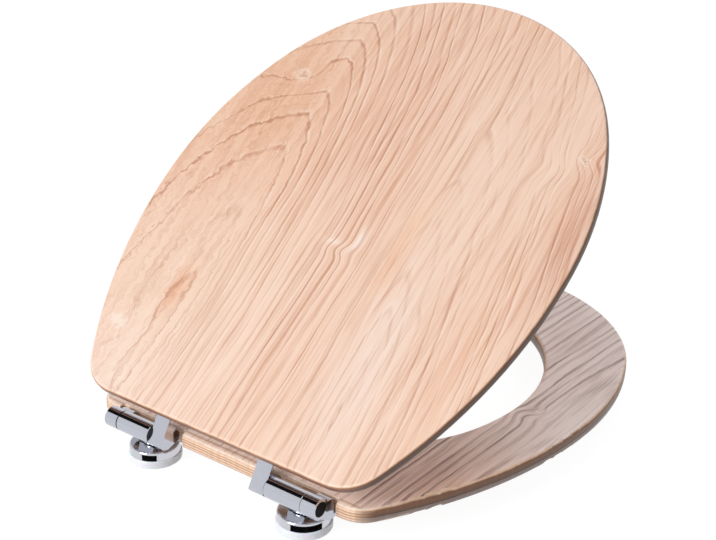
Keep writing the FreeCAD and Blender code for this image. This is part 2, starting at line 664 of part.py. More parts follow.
def lid_buffer(x, y):
    """Button under the lid, held by its peg, which meets the ring when the lid is shut."""
    top = LID_UNDERSIDE_Z
    bottom = RING_TOP_Z + RESTING_GAP
    soft = LID_BUFFER_EDGE_ROUND
    button = disc(x, y, bottom, top, LID_BUFFER_RADIUS)
    button = round_flat_edges(button, (bottom,), soft)
    peg = disc(x, y, top, top + LID_BUFFER_PEG_LENGTH, LID_BUFFER_PEG_RADIUS)
    return button.fuse(peg).removeSplitter()


# Wooden pieces

def blind_hole(x, y, face_z, depth, radius):
    """Hole up into a board for a screw or a peg of the given size."""
    return disc(x, y, face_z - OVERRUN, face_z + depth + SEATED_FIT, radius + SEATED_FIT)


def lid_panel(screw_spots, peg_spots):
    """Lid board with blind holes from below for its screws and its buffers' pegs."""
    widest = LID_REAR_Y + LID_WIDEST_SHARE * SEAT_LENGTH
    face = seat_face(LID_HALF_WIDTH, LID_REAR_Y, SEAT_LENGTH, widest, LID_FRONT_JOIN_DEG,
                     LID_REAR_SIDE_ROUNDNESS * LID_HALF_WIDTH, LID_CORNER_RADIUS)
    shape = slab(face, LID_UNDERSIDE_Z, LID_TOP_Z)
    shape = round_flat_edges(shape, (LID_UNDERSIDE_Z, LID_TOP_Z), LID_EDGE_ROUND)
    for x, y in screw_spots:
        shape = shape.cut(blind_hole(x, y, LID_UNDERSIDE_Z, LID_SCREW_BITE, SCREW_SHANK_RADIUS))
    for x, y in peg_spots:
        shape = shape.cut(blind_hole(x, y, LID_UNDERSIDE_Z, LID_BUFFER_PEG_LENGTH, LID_BUFFER_PEG_RADIUS))
    return raise_lid(shape)


def hinge_notch(side):
    """Room in the ring's rear edge for one hinge, with rounded inner corners."""
    back_y = RING_REAR_Y + NOTCH_DEPTH
    cut = box(side * (LID_ARM_INNER_X - NOTCH_GAP), side * (RING_ARM_OUTER_X + NOTCH_GAP),
              RING_REAR_Y - OVERRUN, back_y, RING_UNDERSIDE_Z - OVERRUN, RING_TOP_Z + OVERRUN)
    corners = []
    for edge in cut.Edges:
        limits = edge.BoundBox
        upright = limits.ZMax - limits.ZMin > RING_THICKNESS
        if upright and abs(limits.YMin - back_y) < 1e-4:
            corners.append(edge)
    return cut.makeFillet(NOTCH_CORNER_RADIUS, corners)


def seat_ring(screw_spots):
    """Ring with its egg-shaped hole, hinge notches and blind screw holes from below."""
    widest = RING_REAR_Y + RING_WIDEST_SHARE * SEAT_LENGTH
    outline = seat_face(RING_HALF_WIDTH, RING_REAR_Y, SEAT_LENGTH, widest, RING_FRONT_JOIN_DEG,
                        RING_REAR_SIDE_ROUNDNESS * RING_HALF_WIDTH, RING_CORNER_RADIUS)
    hole_widest = HOLE_REAR_Y + HOLE_WIDEST_SHARE * HOLE_LENGTH
    hole = oval_face(HOLE_HALF_WIDTH, HOLE_REAR_Y, HOLE_LENGTH, hole_widest,
                     HOLE_FRONT_JOIN_DEG, HOLE_REAR_JOIN_DEG)
    shape = slab(outline.cut(hole).Faces[0], RING_UNDERSIDE_Z, RING_TOP_Z)
    shape = round_flat_edges(shape, (RING_UNDERSIDE_Z, RING_TOP_Z), RING_EDGE_ROUND)
    for side in (-1, 1):
        shape = shape.cut(hinge_notch(side))
    for x, y in screw_spots:
        shape = shape.cut(blind_hole(x, y, RING_UNDERSIDE_Z, RING_SCREW_BITE, SCREW_SHANK_RADIUS))
    return shape


def buffer_spots(shares):
    """Places of buffers on both sides, from shares of the half width and the length."""
    places = [(across * LID_HALF_WIDTH, RING_REAR_Y + along * SEAT_LENGTH) for across, along in shares]
    return [(side * x, y) for side in (-1, 1) for x, y in places]


def hinge(name, side, damper_outward):
    """All pieces of one hinge. The damper drives the ring's arm if it faces outward."""
    middle = side * FIXING_SPACING / 2.0
    return {
        f"{name}_rosette_washer": rosette_washer(middle),
        f"{name}_rosette": rosette(middle),
        f"{name}_base_plate": base_plate(middle),
        f"{name}_post": post(middle),
        f"{name}_hinge_barrel": barrel(side),
        f"{name}_grub_screw": grub_screw(side),
        f"{name}_damper_case": damper_case(side, damper_outward),
        f"{name}_damper_cap": damper_cap(side, damper_outward),
        f"{name}_damper_rotor": damper_rotor(side, damper_outward),
        f"{name}_thrust_washer": thrust_washer(side, damper_outward),
        f"{name}_pivot_pin": pivot_pin(side, damper_outward),
        f"{name}_flanged_bush": flanged_bush(side, damper_outward),
        f"{name}_lid_arm": lid_arm(side, not damper_outward),
        f"{name}_lid_arm_screws": lid_arm_screws(side),
        f"{name}_ring_arm": ring_arm(side, damper_outward),
        f"{name}_ring_arm_screws": ring_arm_screws(side),
        f"{name}_end_cap": end_cap(side),
    }


def main():
    os.makedirs("parts", exist_ok=True)
    pieces = {}
    pieces.update(hinge("left", -1, False))
    pieces.update(hinge("right", 1, True))

    lid_screws = []
    ring_screws = []
    for side in (-1, 1):
        lid_screws += arm_screw_spots(side, LID_ARM_INNER_X, LID_ARM_WIDTH)
        ring_screws += arm_screw_spots(side, RING_ARM_INNER_X, RING_ARM_WIDTH)
    ring_feet = buffer_spots([RING_BUFFER_REAR_SPOT, RING_BUFFER_FRONT_SPOT])
    lid_feet = buffer_spots([LID_BUFFER_SIDE_SPOT, LID_BUFFER_FRONT_SPOT])
    pieces["lid_panel"] = lid_panel(lid_screws, lid_feet)
    pieces["seat_ring"] = seat_ring(ring_screws + ring_feet)

    feet_names = ("rear_left", "front_left", "rear_right", "front_right")
    for name, (x, y) in zip(feet_names, ring_feet):
        pieces[f"ring_buffer_{name}"] = ring_buffer(x, y)
    pieces["ring_buffer_screws"] = Part.makeCompound([buffer_screw(x, y) for x, y in ring_feet])
    lid_names = ("side_left", "front_left", "side_right", "front_right")
    for name, (x, y) in zip(lid_names, lid_feet):
        pieces[f"lid_buffer_{name}"] = raise_lid(lid_buffer(x, y))

    for name, shape in pieces.items():
        shape.exportStep(f"parts/{name}.step")
        print(name, len(shape.Solids), shape.isValid(), round(shape.Volume, 1))


main()
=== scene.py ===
"""Looks of a pale wooden toilet seat with chrome hinges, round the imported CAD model.

The seat stands on a bowl's rim level. Its lid is part way up, and the camera looks from behind,
from the right and from a little above. Every main form is the CAD model's own. This script gives
the wood, metal, plastic and rubber their finishes and cuts the threads that a bolt would meet.
"""

import json
import logging
import math
from dataclasses import dataclass
from enum import Enum
from typing import Any, Sequence

import bpy
from mathutils import Euler, Matrix, Vector

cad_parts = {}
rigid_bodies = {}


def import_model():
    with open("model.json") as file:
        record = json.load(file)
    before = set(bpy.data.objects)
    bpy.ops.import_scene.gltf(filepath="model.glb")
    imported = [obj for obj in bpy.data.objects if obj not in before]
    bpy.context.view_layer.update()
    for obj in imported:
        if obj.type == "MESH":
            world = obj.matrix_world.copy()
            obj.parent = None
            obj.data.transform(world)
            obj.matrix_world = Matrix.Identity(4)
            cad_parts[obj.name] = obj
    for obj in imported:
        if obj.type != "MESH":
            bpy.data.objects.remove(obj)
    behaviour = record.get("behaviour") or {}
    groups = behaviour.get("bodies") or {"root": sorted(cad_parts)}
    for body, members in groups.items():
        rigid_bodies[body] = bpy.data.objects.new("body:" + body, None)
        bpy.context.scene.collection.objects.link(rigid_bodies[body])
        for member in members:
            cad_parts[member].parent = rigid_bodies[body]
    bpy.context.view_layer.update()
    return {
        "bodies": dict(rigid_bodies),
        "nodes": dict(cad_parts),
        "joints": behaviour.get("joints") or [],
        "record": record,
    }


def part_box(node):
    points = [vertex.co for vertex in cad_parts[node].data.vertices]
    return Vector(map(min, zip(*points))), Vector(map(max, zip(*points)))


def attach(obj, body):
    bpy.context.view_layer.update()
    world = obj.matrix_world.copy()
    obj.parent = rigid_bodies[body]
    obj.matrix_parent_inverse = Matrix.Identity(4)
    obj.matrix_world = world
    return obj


LOG = logging.getLogger("toilet_seat")
MM = 0.001

Tree = bpy.types.NodeTree
Socket = bpy.types.NodeSocket

BUMP = "ShaderNodeBump"
COORDINATES = "ShaderNodeTexCoord"
JOIN = "ShaderNodeCombineXYZ"
MAPPING = "ShaderNodeMapping"
MATH = "ShaderNodeMath"
MIX = "ShaderNodeMix"
NOISE = "ShaderNodeTexNoise"
OUTPUT = "ShaderNodeOutputMaterial"
RAMP = "ShaderNodeValToRGB"
RANGE = "ShaderNodeMapRange"
SPLIT = "ShaderNodeSeparateXYZ"
SURFACE = "ShaderNodeBsdfPrincipled"

# Outputs of the coordinates node: the surface's direction and the place on the piece
NORMAL = 1
OBJECT = 3


class Side(Enum):
    """Which of the two hinges a piece belongs to."""

    LEFT = "left"
    RIGHT = "right"


def linear(colour: str) -> tuple[float, float, float, float]:
    """Turn an sRGB hex colour into Blender's linear values.

    Args:
        colour: Six hex digits, such as "F0CDB6".

    Returns:
        Red, green, blue and an alpha of 1.
    """
    values = []
    for start in (0, 2, 4):
        part = int(colour[start:start + 2], 16) / 255.0
        values.append(part / 12.92 if part <= 0.04045 else ((part + 0.055) / 1.055) ** 2.4)
    return values[0], values[1], values[2], 1.0


def add(tree: Tree, kind: str, *inputs: Any, out: int = 0, **settings: Any) -> Any:
    """Add one node, fill its inputs in order and give back one of its outputs.

    Args:
        tree: Node tree that gets the node.
        kind: Blender's name for the node's type.
        inputs: Sockets to link or values to set, in the order of the inputs that the node shows
            with its settings.
        out: Number of the output that is wanted, among those that the node shows.
        settings: Attributes of the node, and "named" for inputs given by socket name.

    Returns:
        The output socket, or the node itself if it has none.
    """
    node = tree.nodes.new(kind)
    named = settings.pop("named", {})
    for key, value in settings.items():
        setattr(node, key, value)
    wanted = list(zip([socket for socket in node.inputs if socket.enabled], inputs))
    wanted += [(node.inputs[name], value) for name, value in named.items()]
    for socket, value in wanted:
        if isinstance(value, Socket):
            tree.links.new(value, socket)
        else:
            socket.default_value = value
    shown = [socket for socket in node.outputs if socket.enabled]
    return shown[out] if shown else node


def new_material(name: str) -> tuple[bpy.types.Material, Tree]:
    """Make an empty node material.

    Args:
        name: The material's name.

    Returns:
        The material and its cleared node tree.
    """
    material = bpy.data.materials.new(name)
    material.use_nodes = True
    material.node_tree.nodes.clear()
    return material, material.node_tree


def set_ramp(socket: Socket, stops: Sequence[tuple[float, str]]) -> Socket:
    """Give a new colour ramp its stops.

    Args:
        socket: The ramp node's colour output.
        stops: Places from 0 to 1 with their sRGB hex colours.

    Returns:
        The same socket, for use in a chain.
    """
    elements = socket.node.color_ramp.elements
    for number, (place, colour) in enumerate(stops):
        element = elements[number] if number < len(elements) else elements.new(place)
        element.position = place
        element.color = linear(colour)
    return socket


def seen_directly(tree: Tree) -> Socket:
    """Where the surroundings show themselves: to the camera, in metal and through glass.

    Args:
        tree: Node tree to build in.

    Returns:
        Float socket that is 1 for camera, glossy and transmission rays.
    """
    rays = add(tree, "ShaderNodeLightPath").node.outputs
    direct = add(tree, MATH, rays["Is Camera Ray"], rays["Is Glossy Ray"], operation="MAXIMUM")
    return add(tree, MATH, direct, rays["Is Transmission Ray"], operation="MAXIMUM")


@dataclass(frozen=True)
class Arch:
    """One cathedral figure, where the veneer's cut runs through nested growth rings.

    All lengths are in millimetres in the board's plane. The figure's middle line leans, and the
    rings' depth below the cut grows towards the front. A point above 0 makes the arches' tops sharp.
    """

    middle: float
    lean: float
    depth: float
    climb: float
    bend: float
    left_spread: float
    right_spread: float
    offset: float
    point: float = 0.0


@dataclass(frozen=True)
class Knot:
    """A small pin knot that the grain flows round, in millimetres in the board's plane."""

    across: float
    along: float
    wide: float
    high: float
    push: float
    halo: float
    core: float


@dataclass(frozen=True)
class Crook:
    """A short sideways step of the grain, in millimetres in the board's plane."""

    across: float
    along: float
    wide: float
    high: float
    shift: float


@dataclass(frozen=True)
class Tone:
    """A soft-edged part of the face with its own colour and its own strength of grain lines.

    Lengths are in millimetres in the board's plane. The lines' strength is 1 where no tone
    changes it, and each tone adds its own amount.
    """

    across: float
    along: float
    wide: float
    high: float
    colour: str
    amount: float
    lines: float = 0.0


Spot = Knot | Crook | Tone


@dataclass(frozen=True)
class Patches:
    """Soft noise with patches of a real size, and the values that it swings between.

    Width and height of a patch are in millimetres across and along the grain. The ends are the
    noise's own values that give the lowest and the highest value.
    """

    wide: float
    high: float
    seed: float
    lowest: float
    highest: float
    detail: float = 2.0
    ends: tuple[float, float] = (0.0, 1.0)


@dataclass(frozen=True)
class LacqueredAsh:
    """Plain-sliced ash veneer under clear satin lacquer.

    Ash is ring-porous: each year's ring starts with a coarse band of pores, so the face shows
    crisp tan lines 4 to 8 mm apart, each with a pale line beside it, and they close into arches
    where the cut meets the rings flat. The lacquer gives a soft sheen and leaves the grain open
    enough to feel. At the board's rear the laid-up plies show as stripes, or the edge is darkened
    with painted shade where it faces away from the light. Along the sides the edge is the wood's
    brown darkened with painted shade, over a grey band of painted floor reflection and under a
    painted highlight on the top rounding. All lengths are in millimetres.
    Real fibres are finer than a tenth of a millimetre, and are drawn coarse enough to show.
    """

    name: str
    tilt_deg: float
    arches: tuple[Arch, ...]
    knots: tuple[Knot, ...]
    crooks: tuple[Crook, ...]
    tones: tuple[Tone, ...]
    light: str
    warm: str
    dark: str
    pale: str
    line_strength: float
    pale_strength: float
    # Edge colours by height: the rear's plies or painted shade, and the sides' painted shade, painted
    # floor reflection and painted top highlight
    rear_plies_and_shade: tuple[tuple[float, str], ...]
    side_wood_shade_and_reflection: tuple[tuple[float, str], ...]
    board_bottom: float
    board_top: float
    knot_halo: str = "FBEADB"
    knot_core: str = "C8875C"

    # Year rings: their width, how unevenly they follow each other, and where a line starts and ends
    ring_width: float = 5.6
    ring_pace: float = 0.45
    ring_unevenness: float = 1.5
    line_rise: float = 0.30
    line_fall: float = 0.60
    lines_between: float = 2.6
    between_strength: float = 0.6
    ring_contrast: tuple[float, float] = (0.35, 1.15)
    line_run: Patches = Patches(12.0, 90.0, 15.5, 0.5, 1.15, 2.0, (0.3, 0.7))

    # Part of the board where the lines turn jagged and thin
    jagged_from: float = -62.0
    jagged_to: float = -112.0
    jag_height: float = 9.0
    calm_height: float = 0.5
    thin_lines: float = 2.3
    jag: Patches = Patches(6.0, 9.0, 1.9, -1.0, 1.0, 4.0)

    # Sway and ripple of the grain, and the clouds of colour in the veneer
    sway: Patches = Patches(80.0, 260.0, 3.1, -7.0, 7.0)
    ripple: Patches = Patches(18.0, 80.0, 7.7, -2.4, 2.4)
    drift: Patches = Patches(40.0, 40.0, 51.0, -30.0, 30.0, 3.0)
    drift_from: float = 25.0
    cloud: Patches = Patches(60.0, 190.0, 21.0, 0.0, 1.0, 3.0, (0.3, 0.7))
    swirl: Patches = Patches(7.0, 5.0, 61.0, -9.0, 9.0, 3.0)

    # Fibres and streaks between the lines
    fibre: Patches = Patches(1.2, 34.0, 5.5, -1.0, 1.0, 3.0, (0.32, 0.68))
    fibre_strength: float = 0.22
    streak: Patches = Patches(3.6, 190.0, 8.8, -1.0, 1.0, 2.0, (0.3, 0.7))
    streak_strength: float = 0.24

    # Edge of the board: the plies' waver, its spots, and how far the striped rear reaches
    ply_waver: Patches = Patches(16.0, 16.0, 31.0, 0.0, 1.1, 3.0)
    edge_spots: Patches = Patches(3.5, 3.5, 41.0, 0.88, 1.10, 4.0, (0.3, 0.7))
    rear_reach: float = 30.0
    rear_fade: float = 20.0

    # Lacquer
    roughness: float = 0.42
    pore_roughness: float = 0.10
    pore_depth: float = 0.2
    coat: float = 0.1
    coat_roughness: float = 0.28

    def place(self, tree: Tree, axis: Vector) -> Socket:
        """Coordinates in millimetres in the flat board's own plane, from the hinge line.

        Args:
            tree: Node tree to build in.
            axis: A point on the hinge line, in metres.

        Returns:
            Vector socket: across, along the grain and up from the hinge line.
        """
        turn = Euler((-math.radians(self.tilt_deg), 0.0, 0.0))
        shift = -(turn.to_matrix() @ axis) / MM
        spot = add(tree, COORDINATES, out=OBJECT)
        size = (1.0 / MM,) * 3
        return add(tree, MAPPING, spot, tuple(shift), tuple(turn), size, vector_type="POINT")

    def hill(self, tree: Tree, across: Socket, along: Socket, spot: Spot, share: float = 1.0) -> Socket:
        """Soft round hill of height 1 over a knot, crook or tone.

        Args:
            tree: Node tree to build in.
            across: Place across the grain.
            along: Place along the grain.
            spot: The knot, crook or tone that gives place and size.
            share: Part of its size that the hill takes.

        Returns:
            Float socket, 1 in the middle and falling to 0.
        """
        side = add(tree, MATH, across, -spot.across, operation="ADD")
        side = add(tree, MATH, side, 1.0 / (spot.wide * share), operation="MULTIPLY")
        rise = add(tree, MATH, along, -spot.along, operation="ADD")
        rise = add(tree, MATH, rise, 1.0 / (spot.high * share), operation="MULTIPLY")
        total = add(tree, MATH, side, side, operation="MULTIPLY")
        total = add(tree, MATH, rise, rise, total, operation="MULTIPLY_ADD")
        total = add(tree, MATH, total, -1.0, operation="MULTIPLY")
        return add(tree, MATH, math.e, total, operation="POWER")

    def figure(self, tree: Tree, across: Socket, along: Socket) -> Socket:
        """Distance in millimetres from the rings' middle, whose steps draw the grain lines.

        Args:
            tree: Node tree to build in.
            across: Place across the grain.
            along: Place along the grain.

        Returns:
            Float socket that grows by one ring width from line to line.
        """
        nearest = None
        for arch in self.arches:
            middle = add(tree, MATH, along, arch.lean, arch.middle, operation="MULTIPLY_ADD")
            off = add(tree, MATH, across, middle, operation="SUBTRACT")
            right = add(tree, MATH, off, 0.0, operation="MAXIMUM")
            right = add(tree, MATH, right, arch.right_spread, operation="MULTIPLY")
            left = add(tree, MATH, off, 0.0, operation="MINIMUM")
            left = add(tree, MATH, left, arch.left_spread, operation="MULTIPLY")
            off = add(tree, MATH, left, right, operation="ADD")
            square = add(tree, MATH, along, along, operation="MULTIPLY")
            deep = add(tree, MATH, along, arch.climb, arch.depth, operation="MULTIPLY_ADD")
            deep = add(tree, MATH, square, arch.bend, deep, operation="MULTIPLY_ADD")
            peak = add(tree, MATH, off, deep, operation="MULTIPLY")
            peak = add(tree, MATH, peak, operation="ABSOLUTE")
            deep = add(tree, MATH, deep, deep, operation="MULTIPLY")
            far = add(tree, MATH, off, off, deep, operation="MULTIPLY_ADD")
            far = add(tree, MATH, peak, arch.point, far, operation="MULTIPLY_ADD")
            far = add(tree, MATH, far, operation="SQRT")
            far = add(tree, MATH, far, arch.offset, operation="ADD")
            nearest = far if nearest is None else add(tree, MATH, nearest, far, operation="MINIMUM")
        return nearest

    def noise(self, tree: Tree, across: Socket, along: Socket, patches: Patches) -> Socket:
        """Soft noise with patches of a real size.

        Args:
            tree: Node tree to build in.
            across: Place across the grain.
            along: Place along the grain.
            patches: Size of the patches and the values that they swing between.

        Returns:
            Float socket.
        """
        side = add(tree, MATH, across, 1.0 / patches.wide, operation="MULTIPLY")
        rise = add(tree, MATH, along, 1.0 / patches.high, operation="MULTIPLY")
        spot = add(tree, JOIN, side, rise, patches.seed)
        value = add(tree, NOISE, named={
            "Vector": spot, "Scale": 1.0, "Detail": patches.detail, "Roughness": 0.5})
        return add(tree, RANGE, value, *patches.ends, patches.lowest, patches.highest)

    def bend(self, tree: Tree, across: Socket, along: Socket) -> Socket:
        """Place across the grain once sway, ripples, jagged parts and crooks have moved it.

        Args:
            tree: Node tree to build in.
            across: Place across the grain.
            along: Place along the grain.

        Returns:
            Float socket in millimetres.
        """
        sway = self.noise(tree, across, along, self.sway)
        ripple = self.noise(tree, across, along, self.ripple)
        jag = self.noise(tree, across, along, self.jag)
        height = add(tree, RANGE, across, self.jagged_from, self.jagged_to, self.calm_height,
                     self.jag_height)
        bent = add(tree, MATH, sway, across, operation="ADD")
        bent = add(tree, MATH, ripple, bent, operation="ADD")
        bent = add(tree, MATH, jag, height, bent, operation="MULTIPLY_ADD")
        for crook in self.crooks:
            step = self.hill(tree, across, along, crook)
            bent = add(tree, MATH, step, crook.shift, bent, operation="MULTIPLY_ADD")
        return bent

    def years(self, tree: Tree, rings: Socket) -> Socket:
        """Number of the year ring at each place, with its share as the decimals.

        Args:
            tree: Node tree to build in.
            rings: Distance from the rings' middle.

        Returns:
            Float socket. The rings' widths differ, as good and bad years do.
        """
        year = add(tree, MATH, rings, 1.0 / self.ring_width, operation="MULTIPLY")
        pace = add(tree, MATH, year, self.ring_pace, operation="MULTIPLY")
        uneven = add(tree, NOISE, named={"W": pace, "Scale": 1.0, "Detail": 1.0}, noise_dimensions="1D")
        return add(tree, MATH, uneven, self.ring_unevenness, year, operation="MULTIPLY_ADD")

    def lines(self, tree: Tree, year: Socket, bent: Socket, along: Socket,
              strength: Socket) -> tuple[Socket, Socket]:
        """Dark and pale lines of the year rings, with the fine fibres between them.

        Args:
            tree: Node tree to build in.
            year: Number of the year ring.
            bent: Bent place across the grain.
            along: Place along the grain.
            strength: Strength of the lines at each place.

        Returns:
            Two float sockets from 0 to 1: how dark and how pale each place is.
        """
        number = add(tree, MATH, year, operation="FLOOR")
        contrast = add(tree, "ShaderNodeTexWhiteNoise", number, noise_dimensions="1D")
        contrast = add(tree, RANGE, contrast, 0.0, 1.0, *self.ring_contrast)
        run = self.noise(tree, bent, along, self.line_run)
        strength = add(tree, MATH, strength, run, operation="MULTIPLY")
        strength = add(tree, MATH, strength, contrast, operation="MULTIPLY")
        thin = add(tree, RANGE, bent, self.jagged_from, self.jagged_to, 1.0, self.thin_lines)
        part = add(tree, MATH, year, operation="FRACT")
        part = add(tree, MATH, part, -0.5, operation="ADD")
        part = add(tree, MATH, part, thin, 0.5, operation="MULTIPLY_ADD", use_clamp=True)
        dark = set_ramp(add(tree, RAMP, part), [
            (0.0, "3C3C3C"), (self.line_rise, "5A5A5A"), (0.44, "FFFFFF"), (0.53, "E0E0E0"),
            (self.line_fall, "585858"), (self.line_fall + 0.12, "202020"), (1.0, "3C3C3C")])
        pale = set_ramp(add(tree, RAMP, part), [
            (0.0, "000000"), (self.line_fall - 0.04, "000000"), (self.line_fall + 0.05, "FFFFFF"),
            (self.line_fall + 0.14, "C0C0C0"), (self.line_fall + 0.24, "101010"), (1.0, "000000")])
        finer = add(tree, MATH, year, self.lines_between, operation="MULTIPLY")
        finer = add(tree, MATH, finer, operation="FRACT")
        finer = set_ramp(add(tree, RAMP, finer), [
            (0.0, "000000"), (0.55, "101010"), (0.8, "989898"), (0.9, "808080"), (1.0, "000000")])
        finer = add(tree, MATH, finer, self.between_strength, operation="MULTIPLY")
        dark = add(tree, MATH, dark, finer, operation="MAXIMUM")
        dark = add(tree, MATH, dark, strength, operation="MULTIPLY")
        strength = add(tree, MATH, strength, thin, operation="DIVIDE")
        pale = add(tree, MATH, pale, strength, operation="MULTIPLY")
        fibre = self.noise(tree, bent, along, self.fibre)
        streak = self.noise(tree, bent, along, self.streak)
        fine = add(tree, MATH, fibre, self.fibre_strength, operation="MULTIPLY")
        fine = add(tree, MATH, streak, self.streak_strength, fine, operation="MULTIPLY_ADD")
        dark = add(tree, MATH, dark, fine, operation="ADD", use_clamp=True)
        fine = add(tree, MATH, fine, -1.1, operation="MULTIPLY")
        pale = add(tree, MATH, pale, fine, operation="ADD", use_clamp=True)
        return dark, pale

    def plies(self, tree: Tree, across: Socket, along: Socket, up: Socket) -> tuple[Socket, Socket]:
        """Colour of the board's edge, with its painted shade, reflection and highlight, and where the
        edge is.

        Args:
            tree: Node tree to build in.
            across: Place across the board.
            along: Place along the board.
            up: Height above the hinge line.

        Returns:
            Colour socket, and a float socket that is 1 on the edge and 0 on the faces.
        """
        half_waver = self.ply_waver.highest / 2.0
        level = self.noise(tree, across, along, self.ply_waver)
        level = add(tree, MATH, level, up, operation="ADD")
        level = add(tree, RANGE, level, self.board_bottom + half_waver, self.board_top + half_waver,
                    0.0, 1.0)
        # Rear: ply stripes or painted shade; sides: painted shade, painted floor reflection and a
        # painted top highlight
        rear = set_ramp(add(tree, RAMP, level), self.rear_plies_and_shade)
        side = set_ramp(add(tree, RAMP, level), self.side_wood_shade_and_reflection)

        tilt = Euler((-math.radians(self.tilt_deg), 0.0, 0.0))
        facing = add(tree, COORDINATES, out=NORMAL)
        facing = add(tree, MAPPING, facing, tuple(tilt), vector_type="VECTOR")
        facing = add(tree, SPLIT, facing).node
        sideways = add(tree, MATH, facing.outputs["X"], operation="ABSOLUTE")
        sideways = add(tree, RANGE, sideways, 0.35, 0.8, 0.0, 1.0)
        ahead = add(tree, RANGE, along, self.rear_reach, self.rear_reach + self.rear_fade, 0.0, 1.0)
        sideways = add(tree, MATH, sideways, ahead, operation="MAXIMUM")
        above = add(tree, RANGE, facing.outputs["Z"], 0.80, 0.90, 1.0, 0.0)
        below = add(tree, RANGE, facing.outputs["Z"], -0.995, -0.97, 0.0, 1.0)
        edge = add(tree, MATH, above, below, operation="MINIMUM")

        colour = add(tree, MIX, sideways, rear, side, data_type="RGBA")
        spots = self.noise(tree, across, along, self.edge_spots)
        colour = add(tree, "ShaderNodeVectorMath", colour, spots, operation="MULTIPLY")
        return colour, edge

    def ground(self, tree: Tree, bent: Socket, along: Socket, wander: Socket) -> tuple[Socket, Socket]:
        """Colour of the veneer before its lines, and how strong the lines are on it.

        Args:
            tree: Node tree to build in.
            bent: Bent place across the grain.
            along: Place along the grain.
            wander: Place along the grain, made uneven for the ends of the large tones.

        Returns:
            Colour socket, and a float socket that is about 1 where the lines are plain to see.
        """
        cloud = self.noise(tree, bent, along, self.cloud)
        face = add(tree, MIX, cloud, linear(self.light), linear(self.warm), data_type="RGBA")
        strength = add(tree, MATH, cloud, 0.2, 0.9, operation="MULTIPLY_ADD")
        for tone in self.tones:
            here = self.hill(tree, bent, wander if tone.high > self.drift_from else along, tone)
            strength = add(tree, MATH, here, tone.lines, strength, operation="MULTIPLY_ADD")
            here = add(tree, MATH, here, tone.amount, operation="MULTIPLY")
            face = add(tree, MIX, here, face, linear(tone.colour), data_type="RGBA")
        return face, add(tree, MATH, strength, 0.1, operation="MAXIMUM")

    def knotted(self, tree: Tree, across: Socket, along: Socket, face: Socket) -> Socket:
        """Face with the knots' pale halos and brown hearts on it.

        Args:
            tree: Node tree to build in.
            across: Place across the grain.
            along: Place along the grain.
            face: Colour of the face.

        Returns:
            Colour socket.
        """
        swirl = self.noise(tree, across, along, self.swirl)
        off = add(tree, MATH, across, swirl, operation="ADD")
        rise = add(tree, MATH, swirl, -0.8, along, operation="MULTIPLY_ADD")
        for knot in self.knots:
            halo = self.hill(tree, off, rise, knot, knot.halo)
            halo = add(tree, RANGE, halo, 0.3, 0.8, 0.0, 0.55)
            face = add(tree, MIX, halo, face, linear(self.knot_halo), data_type="RGBA")
            core = self.hill(tree, off, rise, knot, knot.core)
            core = add(tree, RANGE, core, 0.3, 0.8, 0.0, 0.6)
            face = add(tree, MIX, core, face, linear(self.knot_core), data_type="RGBA")
        return face

    def build(self, axis: Vector) -> bpy.types.Material:
        """Make the material.

        Args:
            axis: A point on the hinge line, in metres.

        Returns:
            The finished material.
        """
        material, tree = new_material(self.name)
        place = add(tree, SPLIT, self.place(tree, axis)).node
        across, along, up = place.outputs["X"], place.outputs["Y"], place.outputs["Z"]
        bent = self.bend(tree, across, along)
        drift = self.noise(tree, across, along, self.drift)
        wander = add(tree, MATH, along, drift, operation="ADD")
        face, strength = self.ground(tree, bent, along, wander)

        rings = self.figure(tree, bent, along)
        for knot in self.knots:
            here = self.hill(tree, across, along, knot)
            rings = add(tree, MATH, here, knot.push, rings, operation="MULTIPLY_ADD")
        dark, pale = self.lines(tree, self.years(tree, rings), bent, along, strength)
        amount = add(tree, MATH, dark, self.line_strength, operation="MULTIPLY")
        face = add(tree, MIX, amount, face, linear(self.dark), data_type="RGBA")
        amount = add(tree, MATH, pale, self.pale_strength, operation="MULTIPLY")
        face = add(tree, MIX, amount, face, linear(self.pale), data_type="RGBA")
        face = self.knotted(tree, across, along, face)

        # Edge colour, holding painted shade, painted floor reflection and a painted highlight
        plies, edge = self.plies(tree, across, along, up)
        colour = add(tree, MIX, edge, face, plies, data_type="RGBA")
        height = add(tree, MATH, dark, -1.0, operation="MULTIPLY")
        normal = add(tree, BUMP, 0.02, self.pore_depth * MM, named={"Height": height})
        rough = add(tree, MATH, dark, self.pore_roughness, self.roughness, operation="MULTIPLY_ADD")
        shader = add(tree, SURFACE, named={
            "Base Color": colour, "Roughness": rough, "Normal": normal, "Coat Weight": self.coat,
            "Coat Roughness": self.coat_roughness})
        add(tree, OUTPUT, shader)
        return material


@dataclass(frozen=True)
class ChromePlate:
    """Chrome plate over polished metal: mirror bright, with the faint haze that handling leaves."""

    name: str
    colour: str
    roughness: float
    haze_mm: float = 9.0

    def build(self) -> bpy.types.Material:
        """Make the material.

        Returns:
            The finished material.
        """
        material, tree = new_material(self.name)
        spot = add(tree, COORDINATES, out=OBJECT)
        haze = add(tree, NOISE, named={
            "Vector": spot, "Scale": 1.0 / (self.haze_mm * MM), "Detail": 3.0})
        rough = add(tree, RANGE, haze, 0.3, 0.7, self.roughness * 0.6, self.roughness * 1.5)
        shader = add(tree, SURFACE, named={
            "Base Color": linear(self.colour), "Metallic": 1.0, "Roughness": rough})
        add(tree, OUTPUT, shader)
        return material


